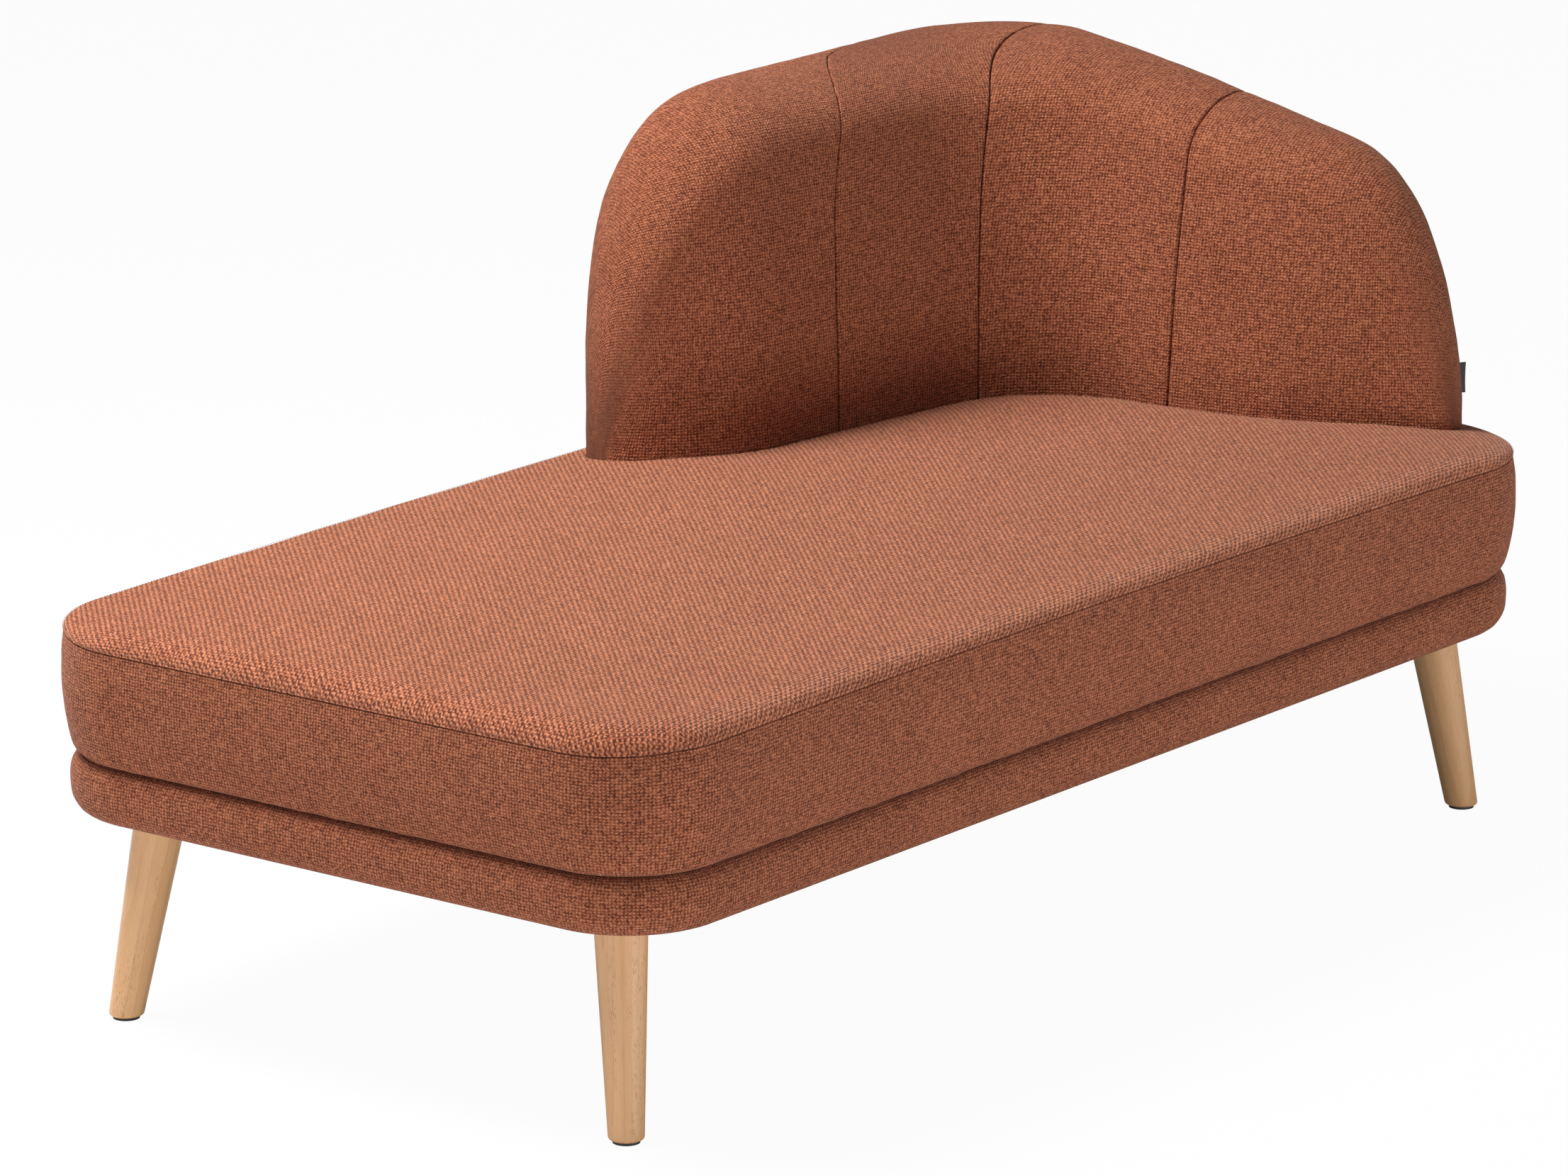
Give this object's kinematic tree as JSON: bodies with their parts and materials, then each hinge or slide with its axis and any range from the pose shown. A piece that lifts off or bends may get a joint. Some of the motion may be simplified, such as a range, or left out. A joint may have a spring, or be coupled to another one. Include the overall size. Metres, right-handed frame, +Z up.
{
  "type": "chaise longue",
  "caption": "Upholstered chaise longue with a long crowned seat, a padded wraparound corner back, a padded base band and splayed tapered wooden legs.",
  "frame": {"origin": "on the floor under the middle of the seat, at the centre of the overall box", "axes": "+X along the seat towards the head end, +Y towards the rear where the back runs along the seat, +Z up; the open long side faces -Y"},
  "size_m": [1.5292, 0.7832, 0.7692],
  "materials": {
    "body_cloth": "slubby plain weave, rust with dark flecks, matte",
    "seat_cloth": "ribbed twill weave, rust with dark flecks, matte",
    "leg_wood": "clear matt lacquer over light hardwood with open pores",
    "softwood_frame": "planed, unfinished",
    "plywood": "sanded, unfinished",
    "webbing": "woven elastic",
    "felt": "needled felt",
    "foam": "open-cell foam",
    "zinc_steel": "bright zinc plate",
    "glide_plastic": "matte moulded",
    "dust_cloth": "spun-bonded cloth",
    "tag_ribbon": "plain woven ribbon"
  },
  "bodies": {
    "root": {"back_base_plate": "plywood", "back_bolts_and_nuts": "zinc_steel", "back_end_pad_head": "body_cloth", "back_end_pad_rear": "body_cloth", "back_outer_cover": "body_cloth", "back_panel_1": "body_cloth", "back_panel_2": "body_cloth", "back_panel_3": "body_cloth", "back_panel_4": "body_cloth", "back_post_head": "softwood_frame", "back_post_rear": "softwood_frame", "back_rail_head": "softwood_frame", "back_rail_rear": "softwood_frame", "back_rib_1": "plywood", "back_rib_2": "plywood", "back_rib_3": "plywood", "back_rib_4": "plywood", "back_rib_5": "plywood", "back_spacer_tubes": "zinc_steel", "base_band": "body_cloth", "base_bearer_1": "softwood_frame", "base_bearer_2": "softwood_frame", "base_bearer_3": "softwood_frame", "base_rail_foot": "softwood_frame", "base_rail_front": "softwood_frame", "base_rail_head": "softwood_frame", "base_rail_rear": "softwood_frame", "corner_block_front_foot": "softwood_frame", "corner_block_front_head": "softwood_frame", "corner_block_rear_foot": "softwood_frame", "corner_block_rear_head": "softwood_frame", "deck_felt": "felt", "dust_cover": "dust_cloth", "glide_front_foot": "glide_plastic", "glide_front_head": "glide_plastic", "glide_rear_foot": "glide_plastic", "glide_rear_head": "glide_plastic", "leg_front_foot": "leg_wood", "leg_front_head": "leg_wood", "leg_hanger_bolts": "zinc_steel", "leg_plate_front_foot": "zinc_steel", "leg_plate_front_head": "zinc_steel", "leg_plate_rear_foot": "zinc_steel", "leg_plate_rear_head": "zinc_steel", "leg_plate_screws": "zinc_steel", "leg_rear_foot": "leg_wood", "leg_rear_head": "leg_wood", "mount_board_head": "plywood", "mount_board_rear": "plywood", "seat_boxing": "body_cloth", "seat_foam_core": "foam", "seat_top_panel": "seat_cloth", "side_tag": "tag_ribbon", "webbing_strap_1": "webbing", "webbing_strap_2": "webbing", "webbing_strap_3": "webbing", "webbing_strap_4": "webbing", "webbing_strap_5": "webbing", "webbing_strap_6": "webbing", "webbing_strap_7": "webbing"}
  },
  "joints": []
}
